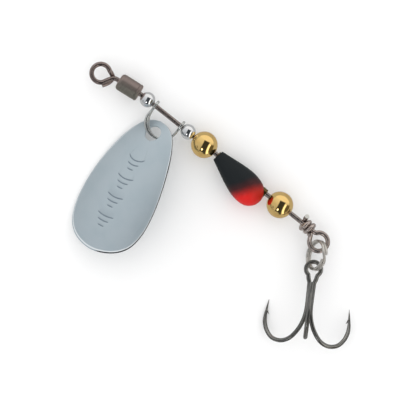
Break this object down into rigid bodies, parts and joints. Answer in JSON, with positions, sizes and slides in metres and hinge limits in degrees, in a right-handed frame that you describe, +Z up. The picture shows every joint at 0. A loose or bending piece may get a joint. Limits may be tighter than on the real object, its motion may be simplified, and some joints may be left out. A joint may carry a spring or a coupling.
{
  "type": "inline spinner",
  "caption": "Fishing lure: domed metal blade on a clevis turning round a wire shaft with beads and a painted drop body, a barrel swivel in front and a treble hook on a split ring behind.",
  "frame": {"origin": "on the table, under the middle of the whole lure", "axes": "+X along the wire shaft from the line eye towards the treble hook, +Y away from the side on which the blade lies, +Z up off the table"},
  "size_m": [0.0612, 0.0274, 0.0132],
  "materials": {
    "gunmetal": "brownish gunmetal plating with fine brushing round the barrel",
    "chrome": "polished chrome",
    "clevis_nickel": "bright nickel strip",
    "blade_nickel": "cool grey nickel, pressed with fine ripples, polished rim",
    "brass": "highly polished brass",
    "body_paint": "satin black paint that fades to red at the rear",
    "shaft_wire": "drawn stainless wire, brown-grey",
    "ring_steel": "bright spring steel",
    "hook_steel": "dark satin grey plating"
  },
  "bodies": {
    "shaft": {"shaft_wire": "shaft_wire"},
    "barrel": {"swivel_barrel": "gunmetal"},
    "eye": {"line_eye": "gunmetal"},
    "nose_bead": {"nose_bead": "chrome"},
    "bearing_bead": {"bearing_bead": "chrome"},
    "clevis": {"clevis": "clevis_nickel"},
    "blade": {"blade": "blade_nickel"},
    "front_bead": {"front_brass_bead": "brass"},
    "drop": {"body": "body_paint", "body_core_tube": "brass"},
    "rear_bead": {"rear_brass_bead": "brass"},
    "ring": {"split_ring": "ring_steel"},
    "hook": {"hook_pair": "hook_steel", "hook_single": "hook_steel"}
  },
  "joints": [
    {"name": "barrel_spin", "type": "hinge", "parent": "shaft", "child": "barrel", "pos_m": [-0.02128, 0.01148, 0.00287], "axis": [-0.9936, -0.1132, 0], "continuous": true},
    {"name": "eye_spin", "type": "hinge", "parent": "barrel", "child": "eye", "pos_m": [-0.02128, 0.01148, 0.00287], "axis": [-0.9936, -0.1132, 0], "continuous": true},
    {"name": "nose_bead_spin", "type": "hinge", "parent": "shaft", "child": "nose_bead", "pos_m": [-0.01991, 0.01148, 0.00287], "axis": [1, 0, 0], "continuous": true},
    {"name": "clevis_spin", "type": "hinge", "parent": "shaft", "child": "clevis", "pos_m": [-0.01557, 0.01148, 0.00287], "axis": [1, 0, 0], "continuous": true},
    {"name": "blade_flare", "type": "hinge", "parent": "clevis", "child": "blade", "pos_m": [-0.01557, 0.01003, 0.00287], "axis": [0, 0, 1], "range_deg": [-40, 40]},
    {"name": "bearing_bead_spin", "type": "hinge", "parent": "shaft", "child": "bearing_bead", "pos_m": [-0.01139, 0.01148, 0.00287], "axis": [1, 0, 0], "continuous": true},
    {"name": "front_bead_spin", "type": "hinge", "parent": "shaft", "child": "front_bead", "pos_m": [-0.00795, 0.01148, 0.00287], "axis": [1, 0, 0], "continuous": true},
    {"name": "drop_spin", "type": "hinge", "parent": "shaft", "child": "drop", "pos_m": [0, 0.01148, 0.00287], "axis": [1, 0, 0], "continuous": true},
    {"name": "rear_bead_slide", "type": "slide", "parent": "shaft", "child": "rear_bead", "axis": [1, 0, 0], "range_m": [-0.0005, 0.002]},
    {"name": "ring_swing", "type": "hinge", "parent": "shaft", "child": "ring", "pos_m": [0.01743, 0.00932, 0.00287], "axis": [0.8957, 0.4446, 0], "range_deg": [-30, 40]},
    {"name": "hook_swing", "type": "hinge", "parent": "ring", "child": "hook", "pos_m": [0.01891, 0.00664, 0.00307], "axis": [0.4342, 0.2156, 0.8746], "range_deg": [-75, 75]}
  ]
}
